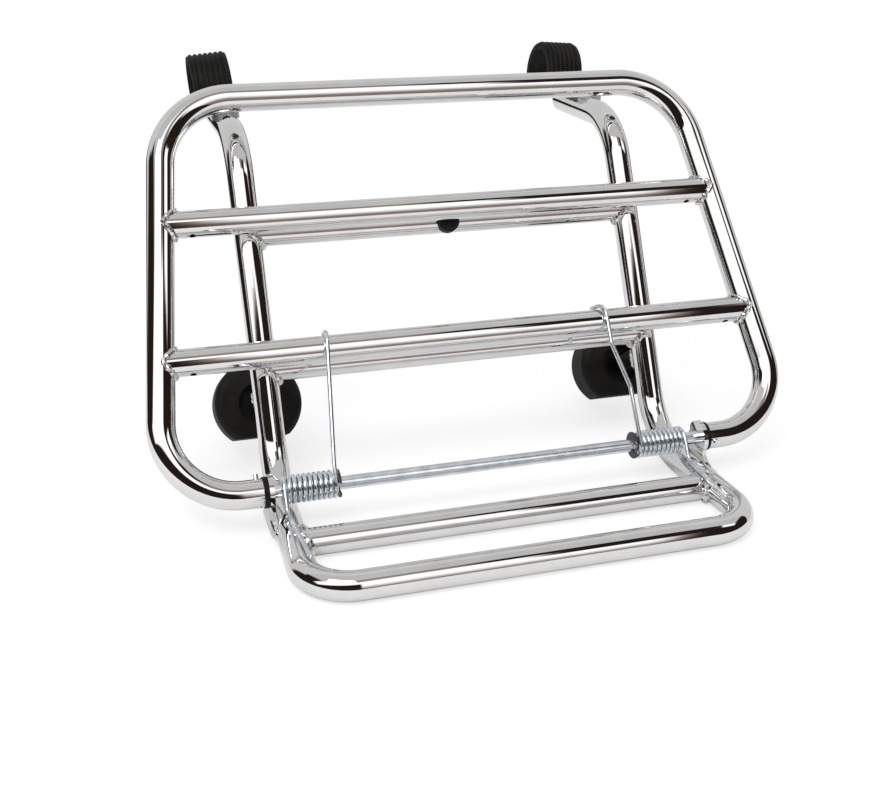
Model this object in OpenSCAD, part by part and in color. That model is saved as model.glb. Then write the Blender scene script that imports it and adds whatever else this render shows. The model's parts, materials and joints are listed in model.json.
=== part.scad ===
// Sprung fold-down rear rack for a scooter.
// X runs along the hinge rod, -Y is the side the flap folds down to, Z is up.
// The shapes are placed from the hinge rod's centre and lifted onto Z = 0 at the end.

/* [Tubes] */
// Outside diameter of the bent tubes
tube_d = 16; // [14:0.5:20]
// Outside diameter of the straight crossbars
bar_d = 15.5; // [12:0.5:16]
// Wall thickness of every tube
wall = 1.5; // [1:0.1:2.5]

/* [Main frame] */
// Distance of each upright from the middle
upright_x = 121.5; // [100:0.5:124]
// Lean of the uprights away from the vertical
upright_lean = 27; // [15:0.5:32]
// Distance from the hinge rod back to the line of the uprights
upright_back = 39; // [36:0.5:50]
// Height of the backward ends above the hinge rod
end_height = 170; // [160:1:200]
// Distance from the hinge rod back to the open ends
end_back = 211.5; // [205:0.5:240]
// Radius of the bends at the top
top_bend = 42; // [30:1:50]
// Radius of the bends at the foot
foot_bend = 50; // [40:1:56]
// Drop of the base loop below the hinge rod
base_drop = 17; // [16.5:0.1:22]
// Distance of the base loop's front bar from the hinge rod
base_reach = 81; // [70:0.5:110]
// Half the width of the base loop at its front corners
base_half = 126; // [118:0.5:140]
// Radius of the base loop's front corners
base_corner = 26; // [20:1:34]
// Distance of the bar across the base loop from the hinge rod
base_bar_reach = 31; // [26:0.5:40]
// Height of the lower bar between the uprights
back_low = 71.5; // [66:0.5:85]
// Height of the upper bar between the uprights
back_high = 152; // [140:0.5:160]
// Diameter of the vent holes in the uprights
upright_vent_d = 4.6; // [3:0.1:6]

/* [Flap] */
// Lean of the folded flap away from the vertical
flap_lean = 34.7; // [33.5:0.1:36]
// Half width of the flap's side lines where they meet the hinge rod
flap_half = 190; // [182:0.5:205]
// Inward slope of each side of the flap
flap_taper = 6.5; // [3:0.1:8]
// Height of the flap's top bar above the hinge rod
flap_height = 234; // [220:0.5:250]
// Radius of the flap's top corners
flap_top_bend = 45; // [30:1:50]
// Radius of the flap's lower corners
flap_low_bend = 40; // [30:1:44]
// Height of the lower bar of the flap
flap_low = 77.4; // [72:0.1:84]
// Height of the upper bar of the flap
flap_high = 157.7; // [154:0.1:162]
// Diameter of the vent holes in the flap's bars
bar_vent_d = 3.6; // [3:0.1:6]
// Distance of the vent holes from the side tubes
bar_vent_in = 17; // [14:0.5:30]
// Turn of the vent holes round the bars, from square to the flap
bar_vent_turn = 80; // [60:1:90]

/* [Hinge] */
// Diameter of the hinge rod
rod_d = 7.5; // [6:0.1:9]
// Radial clearance of the rod in the brackets
rod_clear = 0.06; // [0.02:0.01:0.1]
// Inner face of each hinge bracket from the middle
bracket_x = 129.6; // [127:0.1:131]
// Thickness of each hinge bracket
bracket_t = 2.6; // [2:0.1:4]
// Radius of the bracket round the rod
bracket_r = 10; // [8:0.1:11]
// Diameter of the black washers
washer_d = 17.5; // [14:0.1:20]
// Thickness of the black washers
washer_t = 2.6; // [1.5:0.1:4]
// Side play between bracket and washer
side_play = 0.15; // [0.05:0.01:0.5]
// Diameter of the pins through the rod
pin_d = 3; // [2:0.1:4]
// Reach of the pins' long ends from the rod's middle
pin_reach = 10.6; // [9:0.1:12]
// Distance of the pins from the flap's tube ends
pin_in = 2.8; // [2.4:0.1:8]
// Longest reach of the rod and its bushes into the flap's tube ends
bush_len = 9.5; // [7:0.5:12]

/* [Springs] */
// Wire diameter
wire_d = 2.5; // [2:0.1:3]
// Mean radius of the coils
coil_r = 6.85; // [6:0.05:7]
// Number of turns
turns = 10; // [6:1:12]
// Rise of one turn
pitch = 2.9; // [2.7:0.01:3.2]
// Inner end of the left coil from the middle
coil_in_left = 94.8; // [84:0.1:95]
// Inner end of the right coil from the middle
coil_in_right = 89.3; // [84:0.1:95]
// Where the left spring's long arm crosses the flap's lower bar
arm_over_left = 88.3; // [80:0.1:92]
// Where the right spring's long arm crosses the flap's lower bar
arm_over_right = 82.2; // [76:0.1:86]
// Height of the lower end of the sideways step in the right arm
arm_step_low = 34; // [26:0.5:38]
// Height of the upper end of that step
arm_step_high = 62; // [54:0.5:64]
// Reach of the short leg forward of the hinge rod
leg_reach = 62; // [40:1:66]
// Outer radius of the open rings beside the coils
ring_r = 8; // [6.5:0.1:8.4]
// Thickness of those rings
ring_t = 1; // [0.6:0.1:1.4]

/* [Pads and hooks] */
// Diameter of the rubber pads
pad_d = 54; // [40:0.5:60]
// Thickness of the rubber pads
pad_t = 24; // [18:0.5:30]
// Height of the pads along the uprights
pad_high = 55; // [45:0.5:60]
// Front of the pads behind the line of the uprights
pad_back = 37.5; // [28:0.5:45]
// Flat edge of the pads from their middle
pad_flat = 21; // [16:0.5:26]
// Diameter of the round recess in front of the pads
pad_recess_d = 25; // [20:0.5:30]
// Depth of that recess
pad_recess = 7.5; // [4:0.5:8]
// Rounding of the pads' front edge
pad_round = 5; // [2:0.5:6]
// Width of the rubber on the hooks
hook_w = 25; // [20:0.5:32]
// Outer radius of the hooks
hook_r = 22.5; // [18:0.5:26]
// Height of the hooks' middle above the tube ends
hook_rise = 14; // [10:0.5:20]
// Sideways turn of the left hook
hook_roll_left = -5; // [-14:0.5:0]
// Sideways turn of the right hook
hook_roll_right = 4; // [0:0.5:14]
// Thickness of the hooks' steel strip
strip_t = 2; // [1.5:0.1:2.4]
// Distance of the hooks' screws from the open tube ends
hook_screw_in = 26; // [20:0.5:34]
// Diameter of the screws in hooks and pads
screw_d = 5; // [4:0.1:6]
// Thickness of the end plugs' heads
plug_t = 3; // [2:0.1:4]
// Radius of the rubber stop
stop_r = 6.6; // [5:0.1:8]

/* [Hidden] */
$fn = 48;
tube_r = tube_d / 2;
bore_r = tube_r - wall;
bar_r = bar_d / 2;
rod_r = rod_d / 2;
wire_r = wire_d / 2;
// Straight runs are this much thinner in radius than the bends, so every joint is a clean face.
step_in = 0.002;
chrome = [0.82, 0.83, 0.85];
zinc = [0.72, 0.75, 0.78];
black = [0.08, 0.08, 0.08];
// Unit vectors along the uprights and square to them, and the same for the flap.
up_b = [0, sin(upright_lean), cos(upright_lean)];
out_b = [0, cos(upright_lean), -sin(upright_lean)];
up_a = [0, sin(flap_lean), cos(flap_lean)];
out_a = [0, cos(flap_lean), -sin(flap_lean)];
function unit(v) = v / norm(v);
function upright_at(x, s, n = 0) = [x, 0, 0] + up_b * s + out_b * (upright_back + n);
function flap_at(x, s, n = 0) = [x, 0, 0] + up_a * s + out_a * n;
function flap_side(s) = flap_half - s * tan(flap_taper);
// Where the upright's line meets the base plane and the plane of the backward ends.
s_foot = (upright_back * sin(upright_lean) - base_drop) / cos(upright_lean);
s_top = (upright_back * sin(upright_lean) + end_height) / cos(upright_lean);
// Right halves of the two bent tubes, from the middle of their cross runs.
function frame_half(x) = [
    [x, -base_reach, -base_drop],
    [base_half, -base_reach, -base_drop],
    upright_at(upright_x, s_foot),
    upright_at(upright_x, s_top),
    [upright_x, end_back, end_height]];
frame_bends = [0, base_corner, foot_bend, top_bend, 0];
flap_end = bracket_x + bracket_t + side_play + washer_t;
function flap_half_path(x) = [
    flap_at(x, flap_height),
    flap_at(flap_side(flap_height), flap_height),
    flap_at(flap_half, 0),
    flap_at(flap_end, 0)];
flap_bends = [0, flap_top_bend, flap_low_bend, 0];
// The long arm of each spring lies in front of the flap's lower bar.
arm_gap = bar_r + wire_r + 0.3;
arm_turn = asin((arm_gap - coil_r) / flap_low);
arm_lean = flap_lean - arm_turn;
up_c = [0, sin(arm_lean), cos(arm_lean)];
out_c = [0, cos(arm_lean), -sin(arm_lean)];
arm_top = flap_low * cos(arm_turn) + arm_gap;
leg_z = -base_drop + tube_r + wire_r + 0.05;
leg_drop = (coil_r * sin(arm_lean) - leg_z) / cos(arm_lean);
foot_y = upright_at(0, s_foot)[1];
leg_slope = (base_half - upright_x) / (foot_y + base_reach);
function leg_x(y) = upright_x + (foot_y - y) * leg_slope;
// Gap between two pieces that only just don't touch.
hair = 0.02;
// The bushes end before the flap's lower bends begin.
bend_start = flap_half - reach(flap_at(flap_end, 0), flap_at(flap_half, 0),
    flap_at(flap_side(flap_height), flap_height), flap_low_bend);
bush_end = min(flap_end + bush_len, bend_start - 0.3);
pin_x = flap_end + pin_in;
hook_y = end_back + 1.5 + hook_r;
hook_z = end_height + hook_rise;
screw_y = end_back - hook_screw_in;
screw_r = screw_d / 2;
// Lift and shift onto the middle of the footprint.
back_edge = hook_y + hook_r;
front_edge = base_reach + tube_r;
shift = [0, (front_edge - back_edge) / 2, base_drop + tube_r];

module placed() {
    translate(shift) children();
}

// A round rod between two points.
module rod(p, q, r) {
    d = unit(q - p);
    translate(p)
        rotate([0, acos(d[2]), atan2(d[1], d[0])])
            cylinder(r = r, h = norm(q - p));
}

// Local X along e1 and local Y along e2, from the point c.
module turned_to(c, e1, e2) {
    n = cross(e1, e2);
    translate(c)
        rotate([atan2(e2[2], n[2]), -asin(e1[2]), atan2(e1[1], e1[0])])
            children();
}

function corner(a, b, c) = acos(unit(a - b) * unit(c - b));
function reach(a, b, c, big) = big / tan(corner(a, b, c) / 2);

// A round bar along a path with rounded corners, bent one corner after another.
module bent(path, bends, r, extra = 0) {
    d = unit(path[1] - path[0]);
    turn = atan2(d[1], d[0]);
    tip = acos(d[2]);
    translate(path[0])
        rotate([0, tip, turn])
            bent_from(path, bends, r, extra, 0, [cos(tip) * cos(turn), cos(tip) * sin(turn), -sin(tip)]);
}

module bent_from(path, bends, r, extra, i, side_way, seam = 180) {
    d = unit(path[i + 1] - path[i]);
    last = i == len(path) - 2;
    from = i == 0 ? 0 : reach(path[i - 1], path[i], path[i + 1], bends[i]);
    to = last ? 0 : reach(path[i], path[i + 1], path[i + 2], bends[i + 1]);
    long = norm(path[i + 1] - path[i]) - from - to + (last ? extra : 0);
    linear_extrude(height = long) rotate(seam) circle(r = r - step_in);
    if (!last) {
        next = unit(path[i + 2] - path[i + 1]);
        w = unit(next - d * (next * d));
        big = bends[i + 1];
        turn = acos(next * d);
        roll = atan2(w * cross(d, side_way), w * side_way);
        translate([0, 0, long])
            rotate([0, 0, roll]) {
                difference() {
                    translate([big, 0, 0])
                        rotate([90, 0, 180])
                            rotate_extrude(angle = turn + 4)
                                translate([big, 0])
                                    rotate(180 - seam + roll)
                                        circle(r = r);
                    swung(big, turn)
                        translate([-2 * r, -2 * r, 0])
                            cube([4 * r, 4 * r, 2 * r]);
                }
                swung(big, turn)
                    bent_from(path, bends, r, extra, i + 1, cross(cross(d, w), next), seam - roll);
            }
    }
}

// Swings what follows a bend round to the bend's far end.
module swung(big, turn) {
    translate([big, 0, 0])
        rotate([0, turn, 0])
            translate([-big, 0, 0])
                children();
}

module both() {
    union() {
        children();
        mirror([1, 0, 0]) children();
    }
}

// Turns local Z to point backward square to the uprights, local Y down along them.
module square_to_uprights(x, s, n) {
    translate(upright_at(x, s, n))
        rotate([-90 - upright_lean, 0, 0])
            children();
}

module uprights_solid() {
    for (side = [-1, 1])
        rod(upright_at(side * upright_x, s_foot), upright_at(side * upright_x, s_top), tube_r);
}

module leg_and_upright(side) {
    mirror([side > 0 ? 0 : 1, 0, 0]) bent(frame_half(0), frame_bends, tube_r);
}

module flap_sides_solid() {
    for (side = [-1, 1])
        rod(flap_at(side * flap_half, 0), flap_at(side * flap_side(flap_height), flap_height), tube_r);
}

// Middle of the top bend of one upright, seen from its outside.
bend_u = [0, 1, 0];
bend_open = 180 - acos(bend_u * up_b);
bend_in = unit(bend_u - up_b);
bend_c = upright_at(upright_x, s_top) + bend_in * top_bend / sin(bend_open / 2);

module main_frame() {
    $fn = 36;
    color(chrome)
    difference() {
        both()
            difference() {
                bent(frame_half(0), frame_bends, tube_r);
                bent(frame_half(-1), frame_bends, bore_r, 1);
                rod(bend_c - bend_in * (top_bend + bore_r - 2), bend_c - bend_in * (top_bend + tube_r + 2),
                    upright_vent_d / 2);
            }
        for (side = [-1, 1]) {
            lean = side > 0 ? hook_roll_right : hook_roll_left;
            seat = [side * upright_x, screw_y, end_height];
            rod(seat + [sin(lean), 0, cos(lean)] * (bore_r - 2),
                seat + [sin(lean), 0, cos(lean)] * (tube_r + 2), screw_r);
        }
    }
}

module back_bar(s) {
    color(chrome)
    difference() {
        rod(upright_at(-upright_x + 3, s), upright_at(upright_x - 3, s), bar_r);
        rod(upright_at(-upright_x, s), upright_at(upright_x, s), bar_r - wall);
        uprights_solid();
    }
}

module base_crossbar() {
    x = leg_x(-base_bar_reach);
    color(chrome)
    difference() {
        rod([-x + 3, -base_bar_reach, -base_drop], [x - 3, -base_bar_reach, -base_drop], bar_r);
        rod([-x, -base_bar_reach, -base_drop], [x, -base_bar_reach, -base_drop], bar_r - wall);
        for (side = [-1, 1])
            rod([side * upright_x, foot_y, -base_drop],
                [side * base_half, -base_reach, -base_drop], tube_r);
    }
}

// The bracket's outline, seen from the side with Y to the right.
ear_front = 8.5;
ear_back = 9.2;
foot_front = 22;
foot_back = 12;
foot_low = base_drop + 2;
foot_step = 7.5;
toe_r = 2.2;

module bracket_outline() {
    circle(r = bracket_r);
    polygon([[-ear_front, 2], [-ear_front, -ear_front], [-foot_back, foot_step - foot_low],
        [1 - foot_front, foot_step - 3 - foot_low], [-foot_front, -foot_low],
        [foot_back, -foot_low], [ear_back, -6], [ear_back, 2]]);
}

module hinge_bracket(side) {
    toe = side * (bracket_x + bracket_t);
    color(chrome)
    difference() {
        union() {
            translate([side > 0 ? bracket_x : -bracket_x - bracket_t, 0, 0])
                rotate([90, 0, 90])
                    linear_extrude(height = bracket_t)
                        bracket_outline();
            rod([toe, 1.5 - foot_front, 1 - base_drop], [toe, foot_back - 3, 1 - base_drop], toe_r);
        }
        rod([-bracket_x - 20, 0, 0], [bracket_x + 20, 0, 0], rod_r + rod_clear);
        leg_and_upright(side);
    }
}

stub_r = 7;
// The stub ends inside the pad, on the bottom of its recess.
stub_end = pad_back + pad_recess;

module pad_stub(side) {
    x = side * upright_x;
    color(chrome)
    difference() {
        rod(upright_at(x, pad_high, 2), upright_at(x, pad_high, stub_end), stub_r);
        rod(upright_at(x, pad_high, 0), upright_at(x, pad_high, stub_end - 4), stub_r - 1.6);
        rod(upright_at(x, pad_high, 30), upright_at(x, pad_high, stub_end + 10), screw_r);
        uprights_solid();
    }
}

// Half of the pad's section, from its axis out to its rim.
module pad_section() {
    r = pad_d / 2;
    edge = 3.5;
    square([r - max(edge, pad_round), pad_t]);
    translate([0, pad_round]) square([r - edge, pad_t - pad_round]);
    square([r - pad_round, pad_t - edge]);
    translate([0, pad_round]) square([r, pad_t - edge - pad_round]);
    translate([r - pad_round, pad_round]) circle(r = pad_round);
    translate([r - edge, pad_t - edge]) circle(r = edge);
}

screw_head = 3;
screw_sink = 5;

module rubber_pad(side) {
    r = pad_d / 2;
    color(black)
    square_to_uprights(side * upright_x, pad_high, pad_back)
        difference() {
            rotate_extrude()
                pad_section();
            translate([0, 0, -1]) cylinder(d = pad_recess_d, h = pad_recess + 1);
            cylinder(r = screw_r + 0.2, h = pad_t);
            translate([0, 0, pad_t - screw_sink]) cylinder(r = 6, h = 10);
            translate([-r, pad_flat, -1]) cube([2 * r, r, pad_t + 2]);
        }
}

module pad_screw(side) {
    color(zinc)
    square_to_uprights(side * upright_x, pad_high, pad_back)
        difference() {
            union() {
                translate([0, 0, pad_recess - 4]) cylinder(r = screw_r, h = pad_t - screw_sink - pad_recess + 4);
                translate([0, 0, pad_t - screw_sink]) cylinder(r = 4.6, h = screw_head);
            }
            translate([0, 0, pad_t - screw_sink + 1.4]) cylinder(r = 2, h = screw_head, $fn = 6);
        }
}

module hook_place(side) {
    roll = side > 0 ? hook_roll_right : hook_roll_left;
    translate([side * upright_x, 0, end_height])
        rotate([0, roll, 0])
            translate([0, 0, -end_height])
                children();
}

// The hook's cross-section given in (radius, width), swept over the arch and both legs.
module hook_sweep(front_low, back_low) {
    translate([0, hook_y, hook_z])
        rotate([90, 0, 90])
            rotate_extrude(angle = 180)
                children();
    translate([0, hook_y, front_low])
        linear_extrude(height = hook_z - front_low)
            rotate([0, 0, -90])
                children();
    translate([0, hook_y, back_low])
        linear_extrude(height = hook_z - back_low)
            rotate([0, 0, 90])
                children();
}

// The sleeve is this thick without its ribs, and the strip lies in its middle.
sleeve_t = 4.3;
rib_r = 1.35;
sleeve_in = hook_r - sleeve_t - rib_r + 0.35;
strip_in = sleeve_in + 1.6;
strip_w = hook_w - 8;
foot_top = end_height + tube_r + strip_t + 0.2;

module strip_section() {
    translate([strip_in, -strip_w / 2]) square([strip_t, strip_w]);
}

module sleeve_section() {
    translate([sleeve_in, -hook_w / 2]) square([sleeve_t, hook_w]);
    for (i = [-3 : 3])
        translate([hook_r - rib_r, i * hook_w / 7.4]) circle(r = rib_r);
}

// The strip's foot reaches this far along the tube from its open end.
strip_foot = 42;

module hook_strip(side) {
    color(zinc)
    hook_place(side)
        difference() {
            union() {
                hook_sweep(end_height + tube_r - 1.5, end_height + 1.5)
                    strip_section();
                translate([-strip_w / 2, end_back - strip_foot, end_height + 4])
                    cube([strip_w, hook_y - strip_in - 1 - end_back + strip_foot, foot_top - end_height - 4]);
            }
            rod([0, screw_y, end_height], [0, screw_y, end_height + 30], screw_r);
            rod([0, 0, end_height], [0, end_back + plug_t, end_height], tube_r);
        }
}

module hook_sleeve(side) {
    color(black)
    hook_place(side)
        difference() {
            hook_sweep(foot_top + 0.6, end_height)
                sleeve_section();
            hook_sweep(foot_top - 1, end_height + 1.5)
                strip_section();
        }
}

module hook_screw(side) {
    color(zinc)
    hook_place(side)
        difference() {
            union() {
                rod([0, screw_y, end_height + bore_r], [0, screw_y, foot_top + 0.5], screw_r);
                rod([0, screw_y, foot_top], [0, screw_y, foot_top + 2.4], 4.4);
            }
            translate([0, screw_y, foot_top + 1]) cylinder(r = 1.7, h = 3, $fn = 6);
        }
}

module tube_plug(side) {
    color(chrome)
    translate([side * upright_x, end_back, end_height])
        rotate([-90, 0, 0])
            rotate_extrude()
                union() {
                    square([tube_r - 1, plug_t]);
                    translate([0, -8]) square([bore_r, 9]);
                    square([tube_r, plug_t - 1]);
                    translate([tube_r - 1, plug_t - 1]) circle(r = 1);
                }
}

module stop_button() {
    color(black)
    difference() {
        square_to_uprights(0, back_high - 2.5, -bar_r)
            rotate([180, 0, 0])
                translate([0, 0, -3])
                    union() {
                        cylinder(r = stop_r, h = 5.5);
                        translate([0, 0, 5.5]) cylinder(r1 = stop_r, r2 = stop_r - 1.8, h = 1.8);
                    }
        rod(upright_at(-40, back_high), upright_at(40, back_high), bar_r);
        rod(flap_at(-40, flap_high), flap_at(40, flap_high), bar_r + 0.3);
    }
}

module half_turn(big, r, seam) {
    rotate_extrude(angle = 180)
        translate([big, 0])
            rotate(seam)
                circle(r = r);
}

function coil_in(side) = side < 0 ? coil_in_left : coil_in_right;

// The long arm runs up in front of the flap's lower bar and lies over it at its end.
function arm_path(side) = let(
    start = [side * coil_in(side), 0, 0] - out_c * coil_r,
    over = [side * (side < 0 ? arm_over_left : arm_over_right), 0, 0] - out_c * coil_r,
    rest = out_c * (arm_gap + arm_past) + up_c * arm_top)
    side < 0
        ? [start, start + up_c * 10, over + up_c * arm_top, over + rest]
        : [start, start + up_c * arm_step_low, over + up_c * arm_step_high,
            over + up_c * arm_top, over - [side * arm_aside, 0, 0] + rest];
function arm_bends(side) = side < 0 ? [0, 14, 7.5, 0] : [0, 10, 10, 7.5, 0];
// How far the arm's end lies past the middle of the flap's lower bar, and aside in the right one.
arm_past = 2.5;
arm_aside = 3.6;

// Each turn is two half rings tilted so that their ends meet.
module torsion_spring(side) {
    $fn = 20;
    half = side * pitch / 2;
    e_down = unit([-half, 0, 0] - out_c * 2 * coil_r);
    e_up = unit([-half, 0, 0] + out_c * 2 * coil_r);
    big = norm([half, 0, 0] + out_c * 2 * coil_r) / 2;
    tilt = atan(half / (2 * coil_r));
    x_out = coil_in(side) + turns * pitch;
    finish = [side * x_out, 0, 0] - out_c * coil_r;
    leg = [finish, finish - up_c * leg_drop, [side * (x_out - 3), -leg_reach, leg_z]];
    color(zinc)
    union() {
        for (i = [0 : turns - 1]) {
            x = side * (coil_in(side) + i * pitch);
            turned_to([x + half / 2, 0, 0], e_down, -up_c) {
                half_turn(big, wire_r, (4 * i + 1) * tilt);
                if (i == 0)
                    translate([big, 0, 0])
                        rotate([90, 0, 0])
                            bent_from(arm_path(side), arm_bends(side), wire_r, 0, 0, e_down, tilt);
            }
            turned_to([x + half * 3 / 2, 0, 0], e_up, up_c) {
                half_turn(big, wire_r + step_in, (4 * i + 3) * tilt);
                if (i == turns - 1)
                    translate([-big, 0, 0])
                        rotate([90, 0, 0])
                            bent_from(leg, [0, 5, 0], wire_r, 0, 0, e_up, 180 - (4 * i + 3) * tilt);
            }
        }
    }
}

module flap_frame() {
    $fn = 36;
    color(chrome)
    difference() {
        both()
            difference() {
                bent(flap_half_path(0), flap_bends, tube_r);
                bent(flap_half_path(-1), flap_bends, bore_r, 1);
            }
        rod_pin_solid(-1);
        rod_pin_solid(1);
    }
}

module flap_bar(s) {
    w = flap_side(s);
    color(chrome)
    difference() {
        rod(flap_at(-w + 3, s), flap_at(w - 3, s), bar_r);
        rod(flap_at(-w, s), flap_at(w, s), bar_r - wall);
        flap_sides_solid();
        for (side = [-1, 1])
            rod(flap_at(side * (w - bar_vent_in), s),
                flap_at(side * (w - bar_vent_in), s) - (out_a * cos(bar_vent_turn)
                    + up_a * sin(bar_vent_turn)) * (bar_r + 1),
                bar_vent_d / 2);
    }
}

module rod_solid() {
    rod([-bush_end, 0, 0], [bush_end, 0, 0], rod_r);
}

module hinge_rod() {
    color(zinc)
    difference() {
        rod_solid();
        rod_pin_solid(-1);
        rod_pin_solid(1);
    }
}

module rod_bush(side) {
    color(zinc)
    difference() {
        rod([side * flap_end, 0, 0], [side * bush_end, 0, 0], bore_r - hair);
        rod_solid();
        rod_pin_solid(side);
    }
}

// The left pin's long end stands up and the right one's points to the front.
module rod_pin_solid(side) {
    d = side < 0 ? up_a : [0, -1, 0];
    rod([side * pin_x, 0, 0] - d * (tube_r + 0.3), [side * pin_x, 0, 0] + d * pin_reach, pin_d / 2);
}

module rod_pin(side) {
    color(zinc) rod_pin_solid(side);
}

module hinge_washer(side) {
    x = bracket_x + bracket_t + side_play;
    color(black)
    difference() {
        rod([side * x, 0, 0], [side * (x + washer_t), 0, 0], washer_d / 2);
        rod_solid();
    }
}

// A ring that is open to the front and snaps over the rod.
module spring_ring(side) {
    x = coil_in(side) - wire_r - 0.5;
    slot = rod_d * 0.85;
    color(black)
    difference() {
        rod([side * (x - ring_t), 0, 0], [side * x, 0, 0], ring_r);
        rod_solid();
        translate([-x - 5, -ring_r - 1, -slot / 2]) cube([2 * x + 10, ring_r + 1, slot]);
    }
}

placed() main_frame();
placed() back_bar(back_high);  // upper_back_crossbar
placed() back_bar(back_low);  // lower_back_crossbar
placed() base_crossbar();
placed() hinge_bracket(-1);  // hinge_bracket_left
placed() hinge_bracket(1);  // hinge_bracket_right
placed() pad_stub(-1);  // pad_stub_left
placed() pad_stub(1);  // pad_stub_right
placed() rubber_pad(-1);  // rubber_pad_left
placed() rubber_pad(1);  // rubber_pad_right
placed() pad_screw(-1);  // pad_screw_left
placed() pad_screw(1);  // pad_screw_right
placed() hook_strip(-1);  // hook_strip_left
placed() hook_strip(1);  // hook_strip_right
placed() hook_sleeve(-1);  // hook_sleeve_left
placed() hook_sleeve(1);  // hook_sleeve_right
placed() hook_screw(-1);  // hook_screw_left
placed() hook_screw(1);  // hook_screw_right
placed() tube_plug(-1);  // tube_plug_left
placed() tube_plug(1);  // tube_plug_right
placed() stop_button();
placed() torsion_spring(-1);  // torsion_spring_left
placed() torsion_spring(1);  // torsion_spring_right
placed() flap_frame();
placed() flap_bar(flap_high);  // flap_upper_crossbar
placed() flap_bar(flap_low);  // flap_lower_crossbar
placed() hinge_rod();
placed() rod_bush(-1);  // rod_bush_left
placed() rod_bush(1);  // rod_bush_right
placed() rod_pin(-1);  // rod_pin_left
placed() rod_pin(1);  // rod_pin_right
placed() hinge_washer(-1);  // hinge_washer_left
placed() hinge_washer(1);  // hinge_washer_right
placed() spring_ring(-1);  // spring_ring_left
placed() spring_ring(1);  // spring_ring_right
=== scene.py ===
# Sprung fold-down rear rack for a scooter: chrome tube, zinc hinge, black rubber.
import json
import math
import random

import bmesh
import bpy
from mathutils import Matrix, Quaternion, Vector

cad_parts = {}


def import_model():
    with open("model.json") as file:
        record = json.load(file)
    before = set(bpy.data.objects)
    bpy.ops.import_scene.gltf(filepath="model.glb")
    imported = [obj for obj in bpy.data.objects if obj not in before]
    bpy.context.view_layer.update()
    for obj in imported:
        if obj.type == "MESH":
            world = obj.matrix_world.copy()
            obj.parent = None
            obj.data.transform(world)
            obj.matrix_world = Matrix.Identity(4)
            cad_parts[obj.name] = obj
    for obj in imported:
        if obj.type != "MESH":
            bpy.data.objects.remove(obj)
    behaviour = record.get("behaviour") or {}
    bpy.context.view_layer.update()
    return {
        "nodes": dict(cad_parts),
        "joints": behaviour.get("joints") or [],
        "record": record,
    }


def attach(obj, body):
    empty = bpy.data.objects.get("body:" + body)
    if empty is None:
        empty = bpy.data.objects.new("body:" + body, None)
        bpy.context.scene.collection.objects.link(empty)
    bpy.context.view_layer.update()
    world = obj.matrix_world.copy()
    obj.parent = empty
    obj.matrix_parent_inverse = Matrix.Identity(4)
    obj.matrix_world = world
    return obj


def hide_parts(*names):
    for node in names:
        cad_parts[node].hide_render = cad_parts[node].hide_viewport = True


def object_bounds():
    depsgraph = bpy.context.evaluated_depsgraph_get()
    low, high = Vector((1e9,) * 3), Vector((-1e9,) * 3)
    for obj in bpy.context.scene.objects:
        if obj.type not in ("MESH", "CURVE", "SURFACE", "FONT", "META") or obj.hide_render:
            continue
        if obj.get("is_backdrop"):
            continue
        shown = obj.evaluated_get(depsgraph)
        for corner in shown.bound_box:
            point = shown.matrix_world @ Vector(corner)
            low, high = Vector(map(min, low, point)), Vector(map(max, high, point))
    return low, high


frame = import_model()

# Lengths are in millimetres and places count from the hinge rod's centre, as in the part's source.
# x runs along the rod, y to the back and z up.
AXLE = Vector(frame["joints"][0]["pos_m"])
MM = 0.001
ACROSS = Vector((1.0, 0.0, 0.0))
BACK = Vector((0.0, 1.0, 0.0))
SIDES = (("left", -1), ("right", 1))
LEVELS = ("lower", "upper")

# Tubes, bars and the pads' stubs. BORE_SHOWN is how far a tube's bore is drawn inwards.
TUBE_R = 8.0
BORE_R = 6.5
BORE_SHOWN = 8.0
BAR_R = 7.75
STUB_R = 7.0

# How finely round things are drawn: sides round a tube, steps for each radian of a bend, the
# angles of a rounded end's rings, and the angle from which an edge looks sharp.
TUBE_SIDES = 56
BEND_STEPS = 18
LEAST_BEND_STEPS = 6
DOME_ANGLES = [math.radians(angle) for angle in (30, 60, 88)]
SHARP_FROM = math.radians(40.0)

# The main frame: a base loop, two leaning uprights and two ends that run back.
BASE_HALF = 126.0
BASE_REACH = 81.0
BASE_DROP = 17.0
BASE_BAR_REACH = 31.0
UPRIGHT_LEAN = math.radians(27.0)
UPRIGHT_X = 121.5
UPRIGHT_BACK = 39.0
END_BACK = 211.5
END_HEIGHT = 170.0
FRAME_BENDS = (26.0, 50.0, 42.0)
BACK_BARS = (71.5, 152.0)
PAD_HIGH = 55.0

# The vent holes' painted shade, dark patches that stand in for the shade inside the holes: their radius,
# and how far they lie above and below the tube's skin.
VENT_R = 1.9
VENT_PROUD = 0.05
VENT_SUNK = 0.8
VENT_SIDES = 24

# The flap, a frame that narrows towards its top.
FLAP_LEAN = math.radians(34.7)
FLAP_HALF = 190.0
FLAP_HEIGHT = 234.0
FLAP_TAPER = math.radians(6.5)
FLAP_TOP_HALF = FLAP_HALF - FLAP_HEIGHT * math.tan(FLAP_TAPER)
FLAP_END = 134.95
FLAP_BENDS = (40.0, 45.0)
FLAP_BARS = (77.4, 157.7)

# The torsion springs. COIL_IN is where each coil starts along the rod. Where the two springs
# differ, -1 stands for the left one and 1 for the right one.
WIRE_R = 1.25
WIRE_SIDES = 20
COIL_R = 6.85
COIL_TURNS = 10
COIL_STEPS = 20
COIL_PITCH = 2.9
COIL_IN = {-1: 94.8, 1: 89.3}
# The long arm: its x at the flap's lower bar, the wire's middle from the bar's axis, and how far
# the tip runs past that axis.
ARM_OVER = {-1: 88.3, 1: 82.2}
ARM_CLEAR = 0.3
ARM_GAP = BAR_R + WIRE_R + ARM_CLEAR
ARM_PAST = 2.5
CURL_BEND = 7.5
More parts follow.
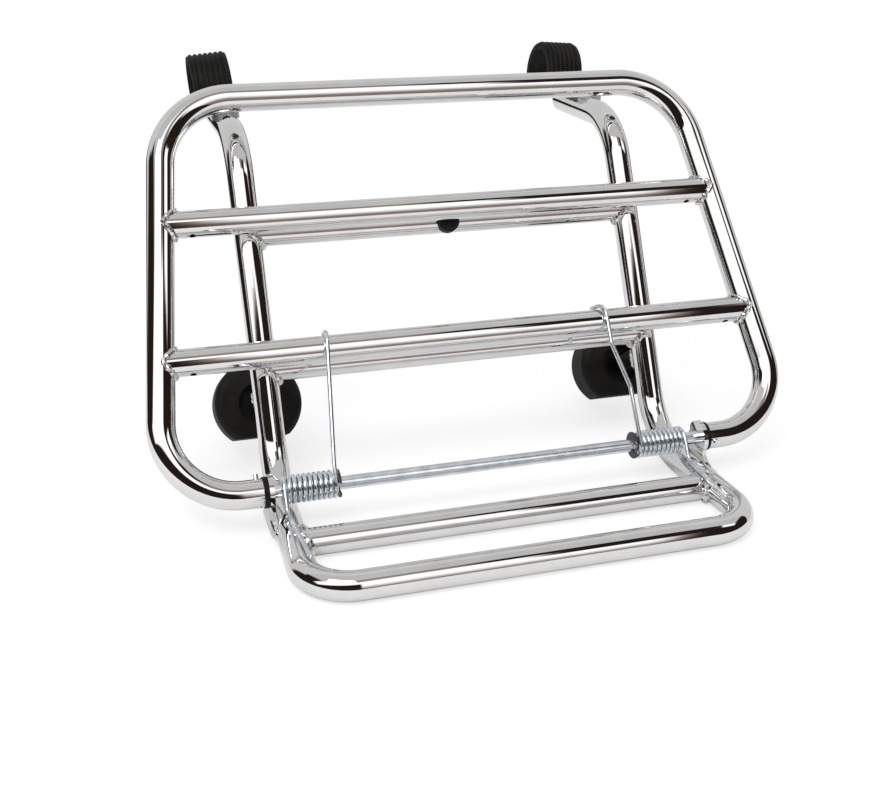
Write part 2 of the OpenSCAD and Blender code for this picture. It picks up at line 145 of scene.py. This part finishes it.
# The left arm slants from this height on. The right one steps aside between two heights.
LEFT_ARM_RISE = 10.0
LEFT_ARM_BEND = 14.0
RIGHT_ARM_STEP = (34.0, 62.0)
RIGHT_ARM_BEND = 10.0
RIGHT_TIP_ASIDE = 3.6
# The short leg, which lies on the base tube.
LEG_REACH = 62.0
LEG_GAP = 0.05
LEG_ASIDE = 3.0
LEG_BEND = 5.0

# The weld beads. A bead's middle line lies outside the bar and outside the tube, and its
# thickness goes up and down as a share of the mean. WELD_SWELL is just over the largest share.
WELD_POINTS = 72
WELD_SIDES = 12
WELD_OFF_BAR = 0.35
WELD_OFF_TUBE = 0.2
WELD_WAVE = 0.18
WELD_WAVE_STEP = 1.3
WELD_UNEVEN = 0.16
WELD_SWELL = 1.35
FLAP_WELD = 1.5
FRAME_WELD = 2.0
STUB_WELD = 1.3
# A point on each bar or stub from which its bead looks for the tube.
FLAP_BAR_FROM = 120.0
FRAME_BAR_FROM = 80.0
STUB_FROM = 30.0

# The camera, as fitted to the whole photo. CAMERA_AT is in metres from the rod's centre.
CAMERA_LENS = 49.57
CAMERA_YAW = math.radians(16.815)
CAMERA_PITCH = math.radians(22.706)
CAMERA_ROLL = math.radians(-0.292)
CAMERA_AT = Vector((-0.2142, -0.5887, 0.3035))

# The paper on the floor, in metres. It glows a little more towards its rim, and PAPER_SEEN is
# the glow's share in what the camera sees.
FLOOR_R = 1.0
FLOOR_SIDES = 96
FLOOR_BACK = 0.25
FLOOR_GAP = 0.0002
PAPER_SHADE = (0.9, 0.9, 0.9, 1.0)
PAPER_RIM = [(0.35, 0.94), (0.85, 1.0)]
PAPER_GLOW = 1.26
PAPER_SEEN = 0.55

# The room that the chrome reflects, in zones. Height angles count from the horizon on the
# camera's side, over the top, to the horizon behind, and limits from -1 (left) to 1 (right):
# (start, fully lit, end, brightness, left limit, right limit).
ROOM = (
    (0.0, 32.0, 38.0, 1.0, 0.10, 0.45),
    (36.5, 39.5, 52.0, 1.0, -0.90, 0.33),
    (50.5, 53.5, 67.2, 1.0, -0.90, 0.02),
    (50.5, 53.5, 67.2, 0.25, 0.03, 0.27),
    (50.5, 53.5, 67.2, 1.0, 0.52, 0.80),
    (66.5, 69.5, 112.0, 0.46, -0.70, 0.80),
    (110.5, 113.5, 180.0, 0.52, -0.80, 1.00),
)
# How bright the first zone is at the horizon.
HORIZON_GLOW = 0.2
# How far the zones' soft edges reach before and after their limits, as shares of the whole half
# turn or width, and the last place that is fully lit.
TOP_FADE_IN = 0.004
TOP_FADE_OUT = 0.012
LEFT_FADE = 0.02
RIGHT_FADE = 0.012
LAST_LIT = 0.99
ROOM_SHADES = [
    (0.0, (0.014, 0.010, 0.008)),
    (0.22, (0.22, 0.17, 0.145)),
    (0.46, 0.46),
    (0.78, 0.80),
    (1.0, 1.0),
]
ROOM_GAIN = 1.36
EVEN_LIGHT = (0.75, 0.75, 0.75, 1.0)
BACKDROP = (1.0, 1.0, 1.0, 1.0)


def along_and_out(lean):
    """The way up along something that leans back, and the way out of its back."""
    sine, cosine = math.sin(lean), math.cos(lean)
    return Vector((0.0, sine, cosine)), Vector((0.0, cosine, -sine))


UPRIGHT_UP, UPRIGHT_OUT = along_and_out(UPRIGHT_LEAN)
FLAP_UP = along_and_out(FLAP_LEAN)[0]
# How far along its own line an upright meets the base loop and the end that runs back.
FOOT = (UPRIGHT_BACK * math.sin(UPRIGHT_LEAN) - BASE_DROP) / math.cos(UPRIGHT_LEAN)
HEAD = (UPRIGHT_BACK * math.sin(UPRIGHT_LEAN) + END_HEIGHT) / math.cos(UPRIGHT_LEAN)


def upright_at(x, s):
    """The point at x and the distance s along the uprights' slope."""
    return Vector((x, 0.0, 0.0)) + UPRIGHT_UP * s + UPRIGHT_OUT * UPRIGHT_BACK


def flap_at(x, s):
    """The point at x and the distance s from the hinge rod, in the flap's plane."""
    return Vector((x, 0.0, 0.0)) + FLAP_UP * s


def in_scene(name, data):
    obj = bpy.data.objects.new(name, data)
    bpy.context.scene.collection.objects.link(obj)
    return obj


def camera():
    data = bpy.data.cameras.new("camera")
    data.sensor_width = 36.0
    data.lens = CAMERA_LENS
    data.clip_start = 0.05
    data.clip_end = 50.0
    forward = Vector((math.sin(CAMERA_YAW) * math.cos(CAMERA_PITCH),
                      math.cos(CAMERA_YAW) * math.cos(CAMERA_PITCH),
                      -math.sin(CAMERA_PITCH)))
    level_right = Vector((math.cos(CAMERA_YAW), -math.sin(CAMERA_YAW), 0.0))
    level_down = forward.cross(level_right)
    right = math.cos(CAMERA_ROLL) * level_right + math.sin(CAMERA_ROLL) * level_down
    down = math.cos(CAMERA_ROLL) * level_down - math.sin(CAMERA_ROLL) * level_right
    turn = Matrix((right, -down, -forward)).transposed()
    obj = in_scene("camera", data)
    obj.matrix_world = Matrix.Translation(AXLE + CAMERA_AT) @ turn.to_4x4()
    bpy.context.scene.camera = obj


class Nodes:
    """A short way to write a node tree, which starts with nothing but its output node."""

    def __init__(self, owner, output):
        owner.use_nodes = True
        self.tree = owner.node_tree
        self.tree.nodes.clear()
        self.out = self.add(output)

    def add(self, kind, **values):
        node = self.tree.nodes.new(kind)
        for key, value in values.items():
            setattr(node, key, value)
        return node

    def link(self, a, b):
        self.tree.links.new(a, b)

    def feed(self, value, socket):
        """Links another node's output to the socket, or sets it to a number or a colour."""
        if isinstance(value, bpy.types.NodeSocket):
            self.link(value, socket)
        else:
            socket.default_value = value

    def math(self, operation, *values):
        node = self.add("ShaderNodeMath", operation=operation)
        for value, socket in zip(values, node.inputs):
            self.feed(value, socket)
        return node.outputs[0]

    def mix(self, share, one, two):
        """The colour one where share is 0, and two where it is 1."""
        node = self.add("ShaderNodeMix", data_type="RGBA")
        self.feed(share, node.inputs[0])
        self.feed(one, node.inputs[6])
        self.feed(two, node.inputs[7])
        return node.outputs[2]

    def ramp(self, value, stops, blend="EASE"):
        """Turns the value into a grey or a colour, by stops of (place, shade)."""
        node = self.add("ShaderNodeValToRGB")
        node.color_ramp.interpolation = blend
        band = node.color_ramp.elements
        while len(band) < len(stops):
            band.new(0.5)
        for element, (place, shade) in zip(band, stops):
            element.position = place
            element.color = (*(shade if isinstance(shade, tuple) else (shade,) * 3), 1.0)
        self.link(value, node.inputs[0])
        return node.outputs[0]


class Look(Nodes):
    """A material with one principled shader."""

    def __init__(self, name):
        self.material = bpy.data.materials.new(name)
        super().__init__(self.material, "ShaderNodeOutputMaterial")
        self.shader = self.add("ShaderNodeBsdfPrincipled")
        self.link(self.shader.outputs[0], self.out.inputs[0])

    def set(self, name, value):
        self.shader.inputs[name].default_value = value

    def noise(self, scale, detail, stretch=None):
        place = self.add("ShaderNodeTexCoord").outputs["Object"]
        if stretch:
            mapping = self.add("ShaderNodeMapping")
            mapping.inputs["Scale"].default_value = stretch
            self.link(place, mapping.inputs[0])
            place = mapping.outputs[0]
        node = self.add("ShaderNodeTexNoise")
        node.inputs["Scale"].default_value = scale
        node.inputs["Detail"].default_value = detail
        self.link(place, node.inputs["Vector"])
        return node.outputs["Fac"]

    def tint(self, cloud, dark, light, full=0.7):
        """The base colour goes from dark to light as the noise rises from 0.3 to full."""
        self.link(self.ramp(cloud, [(0.3, dark), (full, light)]), self.shader.inputs["Base Color"])

    def roughen(self, grain, least, spread):
        """The roughness is least where the noise is 0, and grows by spread up to where it is 1."""
        self.link(self.math("MULTIPLY_ADD", grain, spread, least), self.shader.inputs["Roughness"])

    def bump(self, height, distance, strength):
        node = self.add("ShaderNodeBump")
        node.inputs["Distance"].default_value = distance
        node.inputs["Strength"].default_value = strength
        self.link(height, node.inputs["Height"])
        self.link(node.outputs[0], self.shader.inputs["Normal"])


def chrome():
    look = Look("polished_chrome")
    look.set("Metallic", 1.0)
    look.tint(look.noise(60.0, 3.0), dark=(0.74, 0.73, 0.73), light=(0.78, 0.78, 0.77))
    look.roughen(look.noise(300.0, 2.0), least=0.01, spread=0.05)
    look.bump(look.noise(40.0, 1.0), distance=0.0002, strength=0.06)
    return look.material


def weld_metal():
    look = Look("plated_weld")
    look.set("Metallic", 1.0)
    cloud = look.noise(500.0, 3.0)
    look.tint(cloud, dark=(0.55, 0.53, 0.50), light=(0.85, 0.85, 0.84))
    look.roughen(cloud, least=0.05, spread=0.2)
    look.bump(look.noise(650.0, 2.0), distance=0.0006, strength=0.6)
    return look.material


def zinc():
    look = Look("bright_zinc")
    look.set("Metallic", 1.0)
    look.tint(look.noise(150.0, 4.0), dark=(0.66, 0.71, 0.76), light=(0.82, 0.86, 0.90))
    streak = look.noise(400.0, 3.0, stretch=(0.12, 1.0, 1.0))
    look.roughen(streak, least=0.16, spread=0.12)
    look.bump(streak, distance=0.00003, strength=0.35)
    return look.material


def rubber():
    look = Look("black_rubber")
    look.set("Specular IOR Level", 0.15)
    cloud = look.noise(90.0, 4.0)
    look.tint(cloud, dark=(0.006, 0.0055, 0.005), light=(0.014, 0.013, 0.012), full=0.75)
    look.roughen(cloud, least=0.45, spread=0.25)
    look.bump(look.noise(700.0, 3.0), distance=0.00012, strength=0.5)
    return look.material


def black_metal():
    look = Look("black_oxide")
    look.set("Specular IOR Level", 0.3)
    cloud = look.noise(300.0, 3.0)
    look.tint(cloud, dark=(0.014, 0.010, 0.008), light=(0.045, 0.034, 0.028), full=0.75)
    look.roughen(cloud, least=0.25, spread=0.2)
    return look.material


# Painted shade: a near-black matt look that stands in for the shade inside the vent holes.
def hole_shade_look():
    look = Look("painted_hole_shade")
    look.set("Base Color", (0.010, 0.008, 0.006, 1.0))
    look.set("Roughness", 0.7)
    return look.material


CHROME = chrome()
WELD = weld_metal()
ZINC = zinc()
RUBBER = rubber()
HOLE_SHADE = hole_shade_look()
LOOKS = {
    "chrome": CHROME,
    "zinc": ZINC,
    "zinc_strip": ZINC,
    "spring_steel": ZINC,
    "rubber": RUBBER,
    "black_plastic": RUBBER,
    "black_steel": black_metal(),
}


def paint_nodes():
    """Gives each solid the look of its material slot."""
    slots = {entry["node"]: entry["material_slot"] for entry in frame["record"]["subparts"]}
    for name, obj in frame["nodes"].items():
        obj.data.materials.clear()
        obj.data.materials.append(LOOKS[slots[name]])


def rounded(points, bends):
    """A line through the points, with a round bend of its own radius at each inner one."""
    line = [points[0]]
    for before, at, after, radius in zip(points, points[1:], points[2:], bends):
        u, v = (before - at).normalized(), (after - at).normalized()
        half = u.angle(v) / 2
        reach = radius / math.tan(half)
        centre = (u + v).normalized() * (radius / math.sin(half))
        start = u * reach - centre
        axis = start.cross(v * reach - centre)
        turn = math.pi - 2 * half
        steps = max(LEAST_BEND_STEPS, round(turn * BEND_STEPS))
        for i in range(steps + 1):
            line.append(at + centre + Quaternion(axis, turn * i / steps) @ start)
    line.append(points[-1])
    return line


def mirrored(half):
    """The whole path of a right half, without the half's first point, which lies in the middle."""
    other = [Vector((-p.x, p.y, p.z)) for p in half[:0:-1]]
    return other + half[1:]


def angles(count):
    """Equal steps round a circle."""
    return [2 * math.pi * k / count for k in range(count)]


def join_rings(build, one, two):
    for k in range(len(one)):
        n = (k + 1) % len(one)
        build.faces.new((one[k], one[n], two[n], two[k]))


def join_tip(build, ring, place):
    tip = build.verts.new(place)
    for k in range(len(ring)):
        build.faces.new((tip, ring[k], ring[(k + 1) % len(ring)]))


def directions(line, closed):
    """Each point of the line with the line's direction there."""
    for i, at in enumerate(line):
        before = line[i - 1] if i or closed else at
        after = line[(i + 1) % len(line)] if i + 1 < len(line) or closed else at
        yield at, (after - before).normalized()


def swept(line, radius, sides, ends=None, closed=False):
    """A round bar along the line, with one radius or a list of one for each point.

    ends is None, "round", or the bore's radius of a pipe.
    """
    radii = radius if isinstance(radius, list) else [radius] * len(line)
    stops = [(at, way, r) for (at, way), r in zip(directions(line, closed), radii)]
    (head, head_way, head_r), (tail, tail_way, tail_r) = stops[0], stops[-1]
    if ends == "round":
        dome = [(math.sin(a), math.cos(a)) for a in DOME_ANGLES]
        stops = [(head - head_way * head_r * far, head_way, head_r * near)
                 for far, near in reversed(dome)] + stops
        stops += [(tail + tail_way * tail_r * far, tail_way, tail_r * near) for far, near in dome]
    elif ends:
        stops = [(head + head_way * BORE_SHOWN, head_way, ends), (head, head_way, ends)] + stops
        stops += [(tail, tail_way, ends), (tail - tail_way * BORE_SHOWN, tail_way, ends)]
    build = bmesh.new()
    rings = []
    side = stops[0][1].orthogonal()
    for at, way, r in stops:
        side = (side - way * side.dot(way)).normalized()
        other = way.cross(side)
        rings.append([build.verts.new(at + (side * math.cos(a) + other * math.sin(a)) * r)
                      for a in angles(sides)])
    for one, two in zip(rings, rings[1:]):
        join_rings(build, one, two)
    if closed:
        # The last ring meets the first at the nearest turn.
        near = min(range(sides), key=lambda k: (rings[0][k].co - rings[-1][0].co).length)
        join_rings(build, rings[-1], rings[0][near:] + rings[0][:near])
    if ends == "round":
        build.faces.new(rings[0])
        build.faces.new(rings[-1])
    return build


def piece(name, build, look, body):
    """Makes an object in metres of a bmesh in millimetres, and lets it ride on the body."""
    mesh = bpy.data.meshes.new(name)
    bmesh.ops.recalc_face_normals(build, faces=build.faces)
    build.to_mesh(mesh)
    build.free()
    mesh.transform(Matrix.Translation(AXLE) @ Matrix.Scale(MM, 4))
    mesh.materials.append(look)
    mesh.shade_smooth()
    mesh.set_sharp_from_angle(angle=SHARP_FROM)
    obj = in_scene(name, mesh)
    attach(obj, body)
    return obj


def main_frame():
    half = [Vector((0.0, -BASE_REACH, -BASE_DROP)),
            Vector((BASE_HALF, -BASE_REACH, -BASE_DROP)),
            upright_at(UPRIGHT_X, FOOT),
            upright_at(UPRIGHT_X, HEAD),
            Vector((UPRIGHT_X, END_BACK, END_HEIGHT))]
    line = rounded(mirrored(half), FRAME_BENDS[::-1] + FRAME_BENDS)
    obj = piece("main_frame_tube", swept(line, TUBE_R, TUBE_SIDES, BORE_R), CHROME, "base")
    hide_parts("main_frame")


def flap_frame():
    half = [flap_at(0.0, FLAP_HEIGHT),
            flap_at(FLAP_TOP_HALF, FLAP_HEIGHT),
            flap_at(FLAP_HALF, 0.0),
            flap_at(FLAP_END, 0.0)]
    line = rounded(mirrored(half), FLAP_BENDS + FLAP_BENDS[::-1])
    obj = piece("flap_frame_tube", swept(line, TUBE_R, TUBE_SIDES, BORE_R), CHROME, "flap")
    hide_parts("flap_frame")


def painted_vent_shades():
    """A patch of painted shade on the outer side of each upper bend, dark where its vent hole opens."""
    bend = FRAME_BENDS[2]
    crest = bend + TUBE_R
    into = (BACK - UPRIGHT_UP).normalized()
    along = ACROSS.cross(into)
    half_open = (math.pi - UPRIGHT_UP.angle(BACK)) / 2
    for name, side in SIDES:
        centre = upright_at(side * UPRIGHT_X, HEAD) + into * (bend / math.sin(half_open))
        top = centre - into * crest
        build = bmesh.new()
        rings = []
        for r in (VENT_R / 2, VENT_R):
            ring = []
            for a in angles(VENT_SIDES):
                u, v = r * math.cos(a), r * math.sin(a)
                # The patch bends with the tube's skin.
                sag = TUBE_R - math.sqrt(TUBE_R ** 2 - u * u) + v * v / (2 * crest)
                place = top + ACROSS * u + along * v + into * (sag - VENT_PROUD)
                ring.append(build.verts.new(place))
            rings.append(ring)
        inner, outer = rings
        join_tip(build, inner, top - into * VENT_PROUD)
        join_rings(build, inner, outer)
        join_tip(build, outer, top + into * VENT_SUNK)
        # Each patch is painted shade for the inside of a vent hole.
        piece(f"upright_vent_shade_{name}", build, HOLE_SHADE, "base")


def helix(side, up, out, turn):
    """The coil's point after so many turns from its front, outwards along the rod."""
    a = 2 * math.pi * turn
    x = side * (COIL_IN[side] + turn * COIL_PITCH)
    return Vector((x, 0.0, 0.0)) - (out * math.cos(a) + up * math.sin(a)) * COIL_R


def torsion_spring(name, side):
    """The arm and its first half turn go with the flap, and the rest stays on the base."""
    # The arm leans less than the flap, so that it passes in front of the lower bar.
    lean = FLAP_LEAN - math.asin((ARM_GAP - COIL_R) / FLAP_BARS[0])
    up, out = along_and_out(lean)
    front = out * -COIL_R
    top = up * (FLAP_BARS[0] * math.cos(FLAP_LEAN - lean) + ARM_GAP)
    start = Vector((side * COIL_IN[side], 0.0, 0.0)) + front
    over = Vector((side * ARM_OVER[side], 0.0, 0.0)) + front
    tip = over + top + out * (ARM_GAP + ARM_PAST)
    if side < 0:
        arm = rounded([tip, over + top, start + up * LEFT_ARM_RISE, start], (CURL_BEND, LEFT_ARM_BEND))
    else:
        tip.x -= RIGHT_TIP_ASIDE
        low, high = RIGHT_ARM_STEP
        arm = rounded([tip, over + top, over + up * high, start + up * low, start],
                      (CURL_BEND, RIGHT_ARM_BEND, RIGHT_ARM_BEND))
    half_turn = COIL_STEPS // 2
    arm += [helix(side, up, out, i / COIL_STEPS) for i in range(1, half_turn + 1)]
    wire = swept(arm, WIRE_R, WIRE_SIDES, "round")
    first = piece(f"spring_arm_{name}", wire, ZINC, "flap")
    coil = [helix(side, up, out, i / COIL_STEPS) for i in range(half_turn, COIL_TURNS * COIL_STEPS + 1)]
    leg_z = TUBE_R + WIRE_R + LEG_GAP - BASE_DROP
    heel = coil[-1] - up * ((COIL_R * math.sin(lean) - leg_z) / math.cos(lean))
    leg_end = Vector((heel.x - side * LEG_ASIDE, -LEG_REACH, leg_z))
    coil += rounded([coil[-1], heel, leg_end], (LEG_BEND,))[1:]
    wire = swept(coil, WIRE_R, WIRE_SIDES, "round")
    rest = piece(f"spring_coil_{name}", wire, ZINC, "base")
    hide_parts(f"torsion_spring_{name}")
    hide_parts(f"torsion_spring_{name}")


def weld_bead(name, bar_from, bar_way, bar_r, tube_at, tube_way, body, thick):
    """An uneven bead of weld round a bar's end, where it meets a tube."""
    seed = random.Random(name)
    one = bar_way.orthogonal().normalized()
    two = bar_way.cross(one)
    flat = bar_way - tube_way * bar_way.dot(tube_way)
    line = []
    for a in angles(WELD_POINTS):
        at = bar_from + (one * math.cos(a) + two * math.sin(a)) * (bar_r + WELD_OFF_BAR)
        # The point moves along the bar until it meets the tube.
        off = at - tube_at
        off -= tube_way * off.dot(tube_way)
        b = off.dot(flat)
        room = b * b - flat.length_squared * (off.length_squared - (TUBE_R + WELD_OFF_TUBE) ** 2)
        at += bar_way * ((-b - math.sqrt(max(room, 0.0))) / flat.length_squared)
        # Nothing reaches below the tube that the rack stands on.
        at.z = max(at.z, thick * WELD_SWELL - BASE_DROP - TUBE_R)
        line.append(at)
    waves = [WELD_WAVE * math.sin(i * WELD_WAVE_STEP) for i in range(WELD_POINTS)]
    radii = [thick * (1.0 + wave + seed.uniform(-WELD_UNEVEN, WELD_UNEVEN)) for wave in waves]
    piece(name, swept(line, radii, WELD_SIDES, closed=True), WELD, body)


def welds():
    for name, side in SIDES:
        outwards = ACROSS * side
        corner = flap_at(side * FLAP_HALF, 0.0)
        side_way = (flap_at(side * FLAP_TOP_HALF, FLAP_HEIGHT) - corner).normalized()
        for level, s in zip(LEVELS, FLAP_BARS):
            weld_bead(f"weld_flap_{level}_{name}", flap_at(side * FLAP_BAR_FROM, s), outwards, BAR_R,
                      corner, side_way, "flap", FLAP_WELD)
        upright = upright_at(side * UPRIGHT_X, 0.0)
        for level, s in zip(LEVELS, BACK_BARS):
            weld_bead(f"weld_back_{level}_{name}", upright_at(side * FRAME_BAR_FROM, s), outwards, BAR_R,
                      upright, UPRIGHT_UP, "base", FRAME_WELD)
        base_from = Vector((side * FRAME_BAR_FROM, -BASE_BAR_REACH, -BASE_DROP))
        foot = upright_at(side * UPRIGHT_X, FOOT)
        leg_way = (Vector((side * BASE_HALF, -BASE_REACH, -BASE_DROP)) - foot).normalized()
        weld_bead(f"weld_base_{name}", base_from, outwards, BAR_R,
                  foot, leg_way, "base", FRAME_WELD)
        stub_from = upright_at(side * UPRIGHT_X, PAD_HIGH) + UPRIGHT_OUT * STUB_FROM
        weld_bead(f"weld_stub_{name}", stub_from, -UPRIGHT_OUT, STUB_R,
                  upright, UPRIGHT_UP, "base", STUB_WELD)


def floor():
    """White paper that grows as white as the backdrop towards its rim."""
    mat = bpy.data.materials.new("white_paper")
    nodes = Nodes(mat, "ShaderNodeOutputMaterial")
    paper = nodes.add("ShaderNodeBsdfDiffuse")
    paper.inputs[0].default_value = PAPER_SHADE
    far = nodes.add("ShaderNodeVectorMath", operation="LENGTH")
    nodes.link(nodes.add("ShaderNodeTexCoord").outputs["Object"], far.inputs[0])
    glow = nodes.add("ShaderNodeEmission")
    nodes.link(nodes.ramp(far.outputs["Value"], PAPER_RIM), glow.inputs[0])
    glow.inputs[1].default_value = PAPER_GLOW
    path = nodes.add("ShaderNodeLightPath")
    both = nodes.add("ShaderNodeMixShader")
    nodes.link(nodes.math("MULTIPLY", path.outputs["Is Camera Ray"], PAPER_SEEN), both.inputs[0])
    nodes.link(paper.outputs[0], both.inputs[1])
    nodes.link(glow.outputs[0], both.inputs[2])
    nodes.link(both.outputs[0], nodes.out.inputs[0])
    mesh = bpy.data.meshes.new("floor")
    build = bmesh.new()
    bmesh.ops.create_circle(build, cap_ends=True, radius=FLOOR_R, segments=FLOOR_SIDES)
    build.to_mesh(mesh)
    build.free()
    mesh.materials.append(mat)
    obj = in_scene("floor", mesh)
    obj.location = (0.0, FLOOR_BACK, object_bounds()[0].z - FLOOR_GAP)
    obj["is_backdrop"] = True


def lamp(name, place, aim, size, power):
    data = bpy.data.lights.new(name, "AREA")
    data.shape = "RECTANGLE"
    data.size, data.size_y = size
    data.energy = power
    obj = in_scene(name, data)
    obj.location = place
    obj.rotation_euler = (Vector(aim) - Vector(place)).to_track_quat("-Z", "Y").to_euler()


def zone_light(nodes, over, across, start, full, end, level, left, right):
    """The light of one zone of the room. over and across run from 0 to 1."""
    top = end / 180
    rows = nodes.ramp(over, [
        (start / 180, 0.0 if start else HORIZON_GLOW),
        (full / 180, level),
        (min(top - TOP_FADE_IN, LAST_LIT), level),
        (min(top + TOP_FADE_OUT, 1.0), 0.0 if end < 180 else level)])
    first, last = (left + 1) / 2, (right + 1) / 2
    columns = nodes.ramp(across, [
        (first - LEFT_FADE, 0.0),
        (first + LEFT_FADE, 1.0),
        (last - RIGHT_FADE, 1.0),
        (min(last + RIGHT_FADE, 1.0), 0.0 if right < 1 else 1.0)])
    return nodes.math("MULTIPLY", rows, columns)


def world():
    data = bpy.data.worlds.new("studio")
    bpy.context.scene.world = data
    nodes = Nodes(data, "ShaderNodeOutputWorld")
    split = nodes.add("ShaderNodeSeparateXYZ")
    nodes.link(nodes.add("ShaderNodeTexCoord").outputs["Generated"], split.inputs[0])
    x, y, z = split.outputs
    over = nodes.math("DIVIDE", nodes.math("ARCTAN2", z, nodes.math("MULTIPLY", y, -1.0)), math.pi)
    across = nodes.math("MULTIPLY_ADD", x, 0.5, 0.5)
    bright, *others = [zone_light(nodes, over, across, *zone) for zone in ROOM]
    for light in others:
        bright = nodes.math("ADD", bright, light)
    lit = nodes.add("ShaderNodeVectorMath", operation="SCALE")
    lit.inputs["Scale"].default_value = ROOM_GAIN
    nodes.link(nodes.ramp(bright, ROOM_SHADES, "LINEAR"), lit.inputs[0])
    # Chrome reflects the room, the camera sees the backdrop, and matt surfaces get an even light.
    path = nodes.add("ShaderNodeLightPath")
    around = nodes.mix(path.outputs["Is Glossy Ray"], EVEN_LIGHT, lit.outputs[0])
    back = nodes.add("ShaderNodeBackground")
    nodes.link(nodes.mix(path.outputs["Is Camera Ray"], around, BACKDROP), back.inputs[0])
    nodes.link(back.outputs[0], nodes.out.inputs[0])


bpy.context.scene.view_settings.view_transform = "Standard"
camera()
world()
floor()
lamp("key", place=(-0.7, -0.9, 1.5), aim=(0.0, 0.0, 0.1), size=(1.0, 0.8), power=14.0)
paint_nodes()
main_frame()
flap_frame()
painted_vent_shades()
for name, side in SIDES:
    torsion_spring(name, side)
welds()
